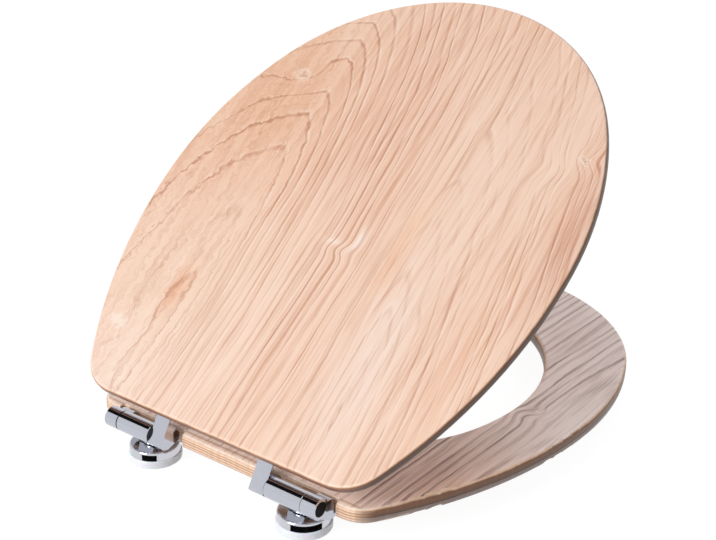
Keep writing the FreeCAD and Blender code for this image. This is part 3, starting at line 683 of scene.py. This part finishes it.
@dataclass(frozen=True)
class TurnedMetal:
    """Bare turned or cast metal: duller than plate, with fine streaks from tool or mould.

    Real tool marks are about 0.1 mm apart, and are drawn coarse enough to show.
    """

    name: str
    light: str
    dark: str
    roughness: float
    grain_mm: float = 0.7
    grain_depth_mm: float = 0.05

    def build(self) -> bpy.types.Material:
        """Make the material.

        Returns:
            The finished material.
        """
        material, tree = new_material(self.name)
        spot = add(tree, COORDINATES, out=OBJECT)
        grain = add(tree, NOISE, named={
            "Vector": spot, "Scale": 1.0 / (self.grain_mm * MM), "Detail": 4.0})
        colour = add(tree, MIX, grain, linear(self.light), linear(self.dark), data_type="RGBA")
        rough = add(tree, RANGE, grain, 0.3, 0.7, self.roughness * 0.8, self.roughness * 1.25)
        normal = add(tree, BUMP, 0.15, self.grain_depth_mm * MM, named={"Height": grain})
        shader = add(tree, SURFACE, named={
            "Base Color": colour, "Metallic": 1.0, "Roughness": rough, "Normal": normal})
        add(tree, OUTPUT, shader)
        return material


@dataclass(frozen=True)
class MouldedPlastic:
    """Injection-moulded plastic: even colour with a faint spark-eroded texture from the mould."""

    name: str
    light: str
    dark: str
    roughness: float
    texture_mm: float = 0.5
    texture_depth_mm: float = 0.03
    cloud_mm: float = 12.0
    glow: float = 0.0
    glow_mm: float = 4.0
    shine: float = 0.5

    def build(self) -> bpy.types.Material:
        """Make the material.

        Returns:
            The finished material.
        """
        material, tree = new_material(self.name)
        spot = add(tree, COORDINATES, out=OBJECT)
        cloud = add(tree, NOISE, named={
            "Vector": spot, "Scale": 1.0 / (self.cloud_mm * MM), "Detail": 2.0})
        colour = add(tree, MIX, cloud, linear(self.light), linear(self.dark), data_type="RGBA")
        grain = add(tree, NOISE, named={
            "Vector": spot, "Scale": 1.0 / (self.texture_mm * MM), "Detail": 2.0})
        rough = add(tree, RANGE, grain, 0.3, 0.7, self.roughness * 0.9, self.roughness * 1.1)
        normal = add(tree, BUMP, 0.08, self.texture_depth_mm * MM, named={"Height": grain})
        shader = add(tree, SURFACE, named={
            "Base Color": colour, "Roughness": rough, "Normal": normal, "Specular IOR Level": self.shine,
            "Subsurface Weight": self.glow, "Subsurface Scale": self.glow_mm * MM})
        add(tree, OUTPUT, shader)
        return material


def dress(piece: bpy.types.Object, material: bpy.types.Material) -> None:
    """Put a finish in all of a CAD node's material slots.

    Args:
        piece: The CAD node's object.
        material: Its finish.
    """
    if not piece.data.materials:
        piece.data.materials.append(material)
    for place in range(len(piece.data.materials)):
        piece.data.materials[place] = material


@dataclass
class Boards:
    """The two wooden boards: the lid and the ring.

    Sizes are in millimetres, measured from the hinge line in the closed seat.
    """

    nodes: dict[str, bpy.types.Object]
    lid_tilt_deg: float = 36.8
    lid_bottom: float = 10.8
    lid_top: float = 18.8
    ring_bottom: float = -10.5
    ring_top: float = 2.0

    def lid_finish(self) -> LacqueredAsh:
        """Grain of the lid: an arched figure on the left and right, straight lines between.

        Returns:
            The lid's finish.
        """
        return LacqueredAsh(
            name="ash_veneer_lid",
            tilt_deg=self.lid_tilt_deg,
            arches=(
                Arch(-97.0, 0.02, 15.6, -0.049, 0.00037, 0.27, 0.8, 0.0, 0.3),
                Arch(88.0, -0.06, -8.0, 0.14, 0.0, 0.9, 0.75, 104.0, 0.3),
            ),
            knots=(
                Knot(-121.0, 327.0, 26.0, 18.0, 5.0, 0.4, 0.22),
                Knot(-134.0, 66.0, 22.0, 15.0, 5.0, 0.5, 0.01),
                Knot(156.0, 303.0, 12.0, 10.0, 6.0, 0.4, 0.2),
                Knot(97.0, 156.0, 9.0, 14.0, 2.0, 0.02, 0.01),
            ),
            crooks=(
                Crook(12.0, 178.0, 15.0, 6.0, 4.5),
                Crook(138.0, 292.0, 22.0, 13.0, -6.0),
            ),
            tones=(
                Tone(-130.0, 295.0, 80.0, 90.0, "E9B794", 0.8, 0.15),
                Tone(-112.0, 90.0, 55.0, 85.0, "F4D8C2", 0.75, -0.3),
                Tone(-105.0, 20.0, 60.0, 45.0, "F6DDCC", 0.7, -0.3),
                Tone(-101.0, 108.0, 10.0, 24.0, "EDB795", 0.8, 0.0),
                Tone(-10.0, 330.0, 62.0, 140.0, "EDC2A8", 0.6, 0.25),
                Tone(-15.0, 60.0, 50.0, 90.0, "F5D8C5", 0.5, -0.35),
                # Painted highlight: the pale glint along the crook's ripple
                Tone(22.0, 191.0, 3.0, 11.0, "FFF3E8", 0.9, 0.0),
                Tone(3.0, 184.0, 9.0, 2.6, "FFF0E4", 0.6, 0.0),
                Tone(86.0, 100.0, 40.0, 110.0, "F5DCCB", 0.8, -0.5),
                Tone(105.0, 330.0, 50.0, 90.0, "F2CFB9", 0.6, -0.45),
                Tone(176.0, 235.0, 11.0, 62.0, "D6A48A", 0.75, 0.3),
                Tone(90.0, 235.0, 38.0, 70.0, "F3D2BC", 0.4, -0.4),
                Tone(60.0, 200.0, 8.0, 60.0, "F0BD97", 0.5, 0.0),
                Tone(112.0, 140.0, 12.0, 60.0, "F2C8AC", 0.4, 0.1),
            ),
            light="F5D4BC",
            warm="EFC2A5",
            dark="C08463",
            pale="FFF0E2",
            line_strength=0.84,
            pale_strength=0.4,
            # Rear edge: dark browns of painted shade, for the lid's rear edge that faces down and away
            # from the light
            rear_plies_and_shade=(
                (0.0, "5E3F2E"), (0.35, "6B4733"), (0.7, "87593F"), (0.86, "A87453"), (0.93, "EAC5A8"),
                (1.0, "F0CFB6")),
            # Sides: a grey painted floor reflection below, the edge's brown darkened with painted shade,
            # and a painted highlight on the top rounding
            side_wood_shade_and_reflection=(
                (0.0, "7E665A"), (0.35, "6F574A"), (0.45, "4A3020"), (0.85, "65432D"), (0.93, "C2916E"),
                (1.0, "F0CDB2")),
            board_bottom=self.lid_bottom,
            board_top=self.lid_top,
        )

    def ring_finish(self) -> LacqueredAsh:
        """Grain of the ring: strong, nearly straight lines, with the plies at its rear edge.

        Returns:
            The ring's finish.
        """
        return LacqueredAsh(
            name="ash_veneer_ring",
            tilt_deg=0.0,
            arches=(
                Arch(178.0, -0.01, 4.0, 0.085, 0.0, 1.0, 0.8, 60.0),
                Arch(-112.0, 0.0, 12.0, 0.06, 0.0, 0.8, 1.0, 0.0),
            ),
            knots=(
                Knot(150.0, 203.0, 12.0, 9.0, 4.0, 0.3, 0.01),
                Knot(-60.0, 372.0, 20.0, 16.0, 12.0, 0.4, 0.2),
            ),
            crooks=(
                Crook(142.0, 192.0, 18.0, 11.0, 5.5),
            ),
            tones=(
                Tone(172.0, 200.0, 22.0, 65.0, "F8EAE2", 0.85, -0.75),
                # Painted shadow: darker brown where the open lid shades the ring near the hinge
                Tone(150.0, 65.0, 40.0, 75.0, "D3A587", 0.85, 0.3),
                Tone(0.0, 8.0, 400.0, 13.0, "F6DCC6", 0.9, -0.95),
                Tone(0.0, 15.5, 400.0, 0.9, "B4805D", 0.75, 0.0),
                Tone(112.0, 330.0, 40.0, 60.0, "E4CCC2", 0.5, 0.15),
            ),
            # Partly painted shade: the same ash as the lid, made greyer and pinker with darker lines,
            # for the cool shade under the open lid
            light="FAE8E0",
            warm="F2DCD3",
            dark="80584E",
            pale="FDF2EC",
            line_strength=0.85,
            pale_strength=0.4,
            rear_plies_and_shade=(
                (0.0, "F0DACB"), (0.12, "F0DACB"), (0.19, "CF9F80"), (0.27, "F3DBC6"), (0.34, "C88F68"),
                (0.44, "F3D9C0"), (0.51, "B97F57"), (0.60, "F2D4B8"), (0.68, "C18659"), (0.76, "F4DBC4"),
                (0.84, "DDB08B"), (0.90, "F7E2D0"), (1.0, "F7E2D0")),
            # Sides: a grey painted floor reflection below, the edge's brown darkened with painted shade,
            # and a painted highlight on the top rounding
            side_wood_shade_and_reflection=(
                (0.0, "A8958C"), (0.2, "937F77"), (0.42, "8B776F"), (0.46, "3E2A1D"), (0.52, "6E4930"),
                (0.84, "7E5437"), (0.90, "E6BE9D"), (1.0, "F0CFB4")),
            board_bottom=self.ring_bottom,
            board_top=self.ring_top,
            jagged_from=-300.0,
            jagged_to=-400.0,
            ring_width=7.4,
            line_rise=0.14,
            line_fall=0.68,
        )

    def build(self, axis: Vector) -> None:
        """Dress both boards.

        Args:
            axis: A point on the hinge line, in metres.
        """
        dress(self.nodes["lid_panel"], self.lid_finish().build(axis))
        dress(self.nodes["seat_ring"], self.ring_finish().build(axis))
        LOG.info("boards dressed")


@dataclass
class HingeUnit:
    """One hinge with its rosette, arms and damper. Sizes are in millimetres."""

    nodes: dict[str, bpy.types.Object]
    side: Side
    thread_radius: float = 3.4
    thread_pitch: float = 1.25
    thread_height: float = 0.3
    thread_inset: float = 0.2

    def node(self, piece: str) -> str:
        """Full name of one of this hinge's CAD nodes."""
        return f"{self.side.value}_{piece}"

    def thread_tree(self, material: bpy.types.Material) -> Tree:
        """Node group that winds a ridge along the wall of the fixing hole.

        Args:
            material: Finish of the ridge.

        Returns:
            The node group, with its sizes as named inputs.
        """
        tree = bpy.data.node_groups.new(f"{self.side.value}_fixing_thread", "GeometryNodeTree")
        for name in ("Radius", "Pitch", "Height", "Length"):
            tree.interface.new_socket(name, in_out="INPUT", socket_type="NodeSocketFloat")
        tree.interface.new_socket("Geometry", in_out="OUTPUT", socket_type="NodeSocketGeometry")
        sizes = tree.nodes.new("NodeGroupInput").outputs
        turns = add(tree, MATH, sizes["Length"], sizes["Pitch"], operation="DIVIDE")
        path = add(tree, "GeometryNodeCurveSpiral", named={
            "Resolution": 28, "Rotations": turns, "Start Radius": sizes["Radius"],
            "End Radius": sizes["Radius"], "Height": sizes["Length"]})
        ridge = add(tree, "GeometryNodeCurvePrimitiveCircle", named={
            "Resolution": 6, "Radius": sizes["Height"]})
        solid = add(tree, "GeometryNodeCurveToMesh", path, ridge, named={"Fill Caps": True})
        solid = add(tree, "GeometryNodeRealizeInstances", solid)
        solid = add(tree, "GeometryNodeSetMaterial", solid, named={"Material": material})
        add(tree, "NodeGroupOutput", solid)
        return tree

    def thread(self, material: bpy.types.Material) -> bpy.types.Object:
        """Ridge of the thread in the base plate's hole.

        Args:
            material: Finish of the ridge.

        Returns:
            A plain mesh object at the origin, riding on the fixings.
        """
        low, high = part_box(self.node("base_plate"))
        margin = self.thread_height + self.thread_inset
        length = (high.z - low.z) / MM - 2.0 * margin
        holder = bpy.data.objects.new("thread_source", bpy.data.meshes.new("thread_source"))
        bpy.context.scene.collection.objects.link(holder)
        modifier = holder.modifiers.new("thread", "NODES")
        modifier.node_group = self.thread_tree(material)
        sizes = {"Radius": self.thread_radius, "Pitch": self.thread_pitch, "Height": self.thread_height,
                 "Length": length}
        for item in modifier.node_group.interface.items_tree:
            if item.in_out == "INPUT":
                modifier[item.identifier] = sizes[item.name]
        bpy.context.view_layer.update()
        evaluated = holder.evaluated_get(bpy.context.evaluated_depsgraph_get())
        mesh = bpy.data.meshes.new_from_object(evaluated)
        bpy.data.objects.remove(holder)
        lift = Vector(((low.x + high.x) / 2, (low.y + high.y) / 2, low.z + margin * MM))
        mesh.transform(Matrix.Translation(lift) @ Matrix.Scale(MM, 4))
        ridge = bpy.data.objects.new(self.node("fixing_thread"), mesh)
        bpy.context.scene.collection.objects.link(ridge)
        return ridge

    def build(self, finishes: dict[str, bpy.types.Material]) -> None:
        """Dress this hinge's nodes and cut its thread.

        Args:
            finishes: Material of each piece, by the piece's name without its side.
        """
        for piece, material in finishes.items():
            dress(self.nodes[self.node(piece)], material)
        ridge = self.thread(finishes["base_plate"])
        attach(ridge, "hinge_fixings")
        LOG.info("%s hinge dressed, thread of %d faces", self.side.value, len(ridge.data.polygons))


@dataclass
class Buffers:
    """Soft buffers under the ring and under the lid, and the screws of the ring's."""

    nodes: dict[str, bpy.types.Object]
    ring_places: tuple[str, ...] = ("rear_left", "front_left", "rear_right", "front_right")
    lid_places: tuple[str, ...] = ("side_left", "front_left", "side_right", "front_right")

    def build(self, rubber: bpy.types.Material, steel: bpy.types.Material) -> None:
        """Dress the buffers.

        Args:
            rubber: Finish of the buffers.
            steel: Finish of their screws.
        """
        for place in self.ring_places:
            dress(self.nodes[f"ring_buffer_{place}"], rubber)
        for place in self.lid_places:
            dress(self.nodes[f"lid_buffer_{place}"], rubber)
        dress(self.nodes["ring_buffer_screws"], steel)
        LOG.info("%d buffers dressed", len(self.ring_places) + len(self.lid_places))


@dataclass
class Studio:
    """Plain pale floor, soft light and the camera at the photograph's angle. Lengths are in metres."""

    camera_spot: tuple[float, float, float] = (0.53266, -0.55578, 0.49418)
    azimuth_deg: float = 36.857
    elevation_deg: float = 22.736
    roll_deg: float = 0.962
    lens_mm: float = 61.963
    floor_half: float = 6.0
    floor_drop: float = 0.0004
    key_spot: tuple[float, float, float] = (-0.55, -2.5, 1.35)
    key_size: float = 1.3
    key_watts: float = 58.0
    fill_spot: tuple[float, float, float] = (0.2, 1.6, 1.6)
    fill_size: float = 1.5
    fill_watts: float = 9.0
    flag_spot: tuple[float, float, float] = (-0.75, -0.15, 1.5)
    flag_half: tuple[float, float] = (1.25, 0.72)
    card_reach: float = 0.0258
    card_height: float = 0.0082
    card_lift: float = 0.0005
    card_faces: int = 12
    card_arcs_deg: tuple[tuple[Side, float, float], ...] = (
        (Side.LEFT, -84.0, -40.0), (Side.RIGHT, -88.0, 1.0))
    floor_strength: float = 0.93
    world_strength: float = 0.5

    def floor_material(self) -> bpy.types.Material:
        """Near-white floor that the camera sees as white, with a faint shadow of the seat.

        Returns:
            The floor's material.
        """
        material, tree = new_material("studio_floor")
        matte = add(tree, "ShaderNodeBsdfDiffuse", linear("E8E8E8"))
        faint = add(tree, "ShaderNodeBsdfDiffuse", linear("6A6A6A"))
        white = add(tree, "ShaderNodeEmission", linear("FFFFFF"), self.floor_strength)
        bright = add(tree, "ShaderNodeAddShader", faint, white)
        both = add(tree, "ShaderNodeMixShader", seen_directly(tree), matte, bright)
        add(tree, OUTPUT, both)
        return material

    def build_floor(self) -> None:
        """Lay the floor just under the washers."""
        half = self.floor_half
        corners = [(-half, -half, -self.floor_drop), (half, -half, -self.floor_drop),
                   (half, half, -self.floor_drop), (-half, half, -self.floor_drop)]
        mesh = bpy.data.meshes.new("studio_floor")
        mesh.from_pydata(corners, [], [(0, 1, 2, 3)])
        mesh.materials.append(self.floor_material())
        floor = bpy.data.objects.new("studio_floor", mesh)
        bpy.context.scene.collection.objects.link(floor)

    def build_card(self, name: str, corners: Sequence[Vector]) -> None:
        """Set up a dark card that only shows as a dark patch in polished metal.

        Args:
            name: The card's name.
            corners: Its lower corners from end to end, and then its upper ones in the same order.
        """
        material, tree = new_material(name)
        add(tree, OUTPUT, add(tree, "ShaderNodeBsdfDiffuse", linear("1C1A1A")))
        half = len(corners) // 2
        faces = [(place, place + 1, half + place + 1, half + place) for place in range(half - 1)]
        mesh = bpy.data.meshes.new(name)
        mesh.from_pydata([tuple(corner) for corner in corners], [], faces)
        mesh.materials.append(material)
        card = bpy.data.objects.new(name, mesh)
        bpy.context.scene.collection.objects.link(card)
        card.visible_camera = False
        card.visible_diffuse = False
        card.visible_transmission = False
        card.visible_shadow = False

    def build_cards(self) -> None:
        """Hang one dark card overhead, for the barrels, and stand a low one behind each rosette, as
        painted dark reflections in the chrome.
        """
        middle = Vector(self.flag_spot)
        wide, deep = self.flag_half
        self.build_card("overhead_card", [
            middle + Vector((side * wide, way * deep, 0.0)) for way in (-1, 1) for side in (-1, 1)])
        for side, first, last in self.card_arcs_deg:
            low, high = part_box(f"{side.value}_rosette")
            centre = Vector(((low.x + high.x) / 2, (low.y + high.y) / 2, self.card_lift))
            step = (last - first) / self.card_faces
            turns = [math.radians(first + step * number) for number in range(self.card_faces + 1)]
            ways = [Vector((math.cos(turn), math.sin(turn), 0.0)) for turn in turns]
            foot = [centre + self.card_reach * way for way in ways]
            top = [spot + Vector((0.0, 0.0, self.card_height)) for spot in foot]
            self.build_card(f"{side.value}_rosette_card", foot + top)

    def build_world(self) -> None:
        """Even pale surroundings: white to the camera, a little cooler for the fill."""
        world = bpy.data.worlds.new("studio_surroundings")
        bpy.context.scene.world = world
        world.use_nodes = True
        tree = world.node_tree
        tree.nodes.clear()
        soft = add(tree, "ShaderNodeBackground", linear("F2F4FA"), self.world_strength)
        white = add(tree, "ShaderNodeBackground", linear("FFFFFF"), 1.0)
        both = add(tree, "ShaderNodeMixShader", seen_directly(tree), soft, white)
        add(tree, "ShaderNodeOutputWorld", both)

    def build_lamp(self, name: str, spot: Sequence[float], size: float, watts: float) -> None:
        """Hang one square softbox that looks at the seat.

        Args:
            name: The lamp's name.
            spot: Its place.
            size: Length of its side.
            watts: Its power.
        """
        light = bpy.data.lights.new(name, "AREA")
        light.size = size
        light.energy = watts
        lamp = bpy.data.objects.new(name, light)
        lamp.location = spot
        aim = Vector((0.0, 0.2, 0.1)) - Vector(spot)
        lamp.rotation_euler = aim.to_track_quat("-Z", "Y").to_euler()
        bpy.context.scene.collection.objects.link(lamp)

    def build_camera(self) -> None:
        """Set up the camera from its place and its three angles."""
        turn = math.radians(self.azimuth_deg)
        lift = math.radians(self.elevation_deg)
        roll = math.radians(self.roll_deg)
        back = Vector((math.sin(turn), -math.cos(turn), 0.0)) * math.cos(lift)
        back.z = math.sin(lift)
        level = Vector((math.cos(turn), math.sin(turn), 0.0))
        top = level.cross(-back)
        right = level * math.cos(roll) + top * math.sin(roll)
        up = top * math.cos(roll) - level * math.sin(roll)
        camera = bpy.data.objects.new("camera", bpy.data.cameras.new("camera"))
        frame = Matrix((right, up, back)).transposed().to_4x4()
        camera.matrix_world = Matrix.Translation(self.camera_spot) @ frame
        camera.data.lens = self.lens_mm
        camera.data.clip_start = 0.01
        bpy.context.scene.collection.objects.link(camera)
        bpy.context.scene.camera = camera

    def build(self) -> None:
        """Set up floor, surroundings, lamps and camera."""
        self.build_floor()
        self.build_cards()
        self.build_world()
        self.build_lamp("key_softbox", self.key_spot, self.key_size, self.key_watts)
        self.build_lamp("fill_softbox", self.fill_spot, self.fill_size, self.fill_watts)
        self.build_camera()
        bpy.context.scene.view_settings.view_transform = "Standard"
        LOG.info("studio ready")


def hinge_finishes() -> dict[str, bpy.types.Material]:
    """Make the finish of each piece of a hinge.

    Returns:
        The finishes, by the piece's name without its side.
    """
    # Chrome on die-cast arms and barrels: a blue-grey mirror, very slightly soft
    arms = ChromePlate("chrome_plate_hinge", "BCBEC8", 0.09).build()
    # Chrome on spun brass: the clearest mirror of the hinge
    mirror = ChromePlate("chrome_plate_rosette", "C9CAD0", 0.04).build()
    # Zinc as it leaves the mould: dull grey with a fine tooth
    cast = TurnedMetal("die_cast_zinc", "A9A9AB", "8A8A8D", 0.45).build()
    # Turned steel: bright, with fine tool marks
    bright = TurnedMetal("turned_bright_steel", "C4C4C6", "A6A6A9", 0.25).build()
    # Oil-blackened steel: nearly black, with a dull metal gleam
    black = TurnedMetal("blackened_steel", "3A3A3C", "262628", 0.4).build()
    # Zinc plate on screws: pale, slightly blue and cloudy
    zinc = TurnedMetal("zinc_plated_steel", "C2C3C8", "9C9DA4", 0.3).build()
    # Glass-filled nylon: charcoal with a low sheen
    housing = MouldedPlastic("black_nylon_housing", "26262A", "1B1B1E", 0.5).build()
    # Undyed acetal: waxy off-white
    rotor = MouldedPlastic("natural_acetal", "E2DFD5", "D2CEC2", 0.4).build()
    # Bearing nylon, dyed black: the dark line at each seam of the barrel is partly the nylon's colour
    # and partly painted shade of the narrow gap
    bearing = MouldedPlastic("black_nylon_bearing_and_seam_shade", "1E1E20", "141416", 0.45).build()
    # Soft plastic foot: near white, with light going a little way into it
    washer = MouldedPlastic("soft_white_plastic", "F4F4F7", "E6E7EC", 0.3, glow=0.3).build()
    # Matt black plug: a dark spot that mirrors nothing
    cap = MouldedPlastic("black_plastic_cap", "0C0C0C", "080808", 0.5, shine=0.06).build()
    return {
        "rosette_washer": washer, "rosette": mirror, "base_plate": cast, "post": bright,
        "hinge_barrel": arms, "grub_screw": black, "damper_case": housing, "damper_cap": housing,
        "damper_rotor": rotor, "thrust_washer": bearing, "pivot_pin": bright, "flanged_bush": bearing,
        "lid_arm": arms, "lid_arm_screws": zinc, "ring_arm": arms, "ring_arm_screws": zinc,
        "end_cap": cap,
    }


def main() -> None:
    """Dress the seat, set up the studio and report each step."""
    logging.basicConfig(level=logging.INFO, format="%(name)s: %(message)s")
    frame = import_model()
    nodes = frame["nodes"]
    Boards(nodes).build(Vector(frame["joints"][0]["pos_m"]))
    finishes = hinge_finishes()
    for side in Side:
        HingeUnit(nodes, side).build(finishes)
    # Soft clear rubber: milky, with light going well into it
    rubber = MouldedPlastic("translucent_rubber", "E6E5DE", "D4D2C8", 0.5, glow=0.4).build()
    Buffers(nodes).build(rubber, finishes["ring_arm_screws"])
    Studio().build()


if __name__ == "__main__":
    main()
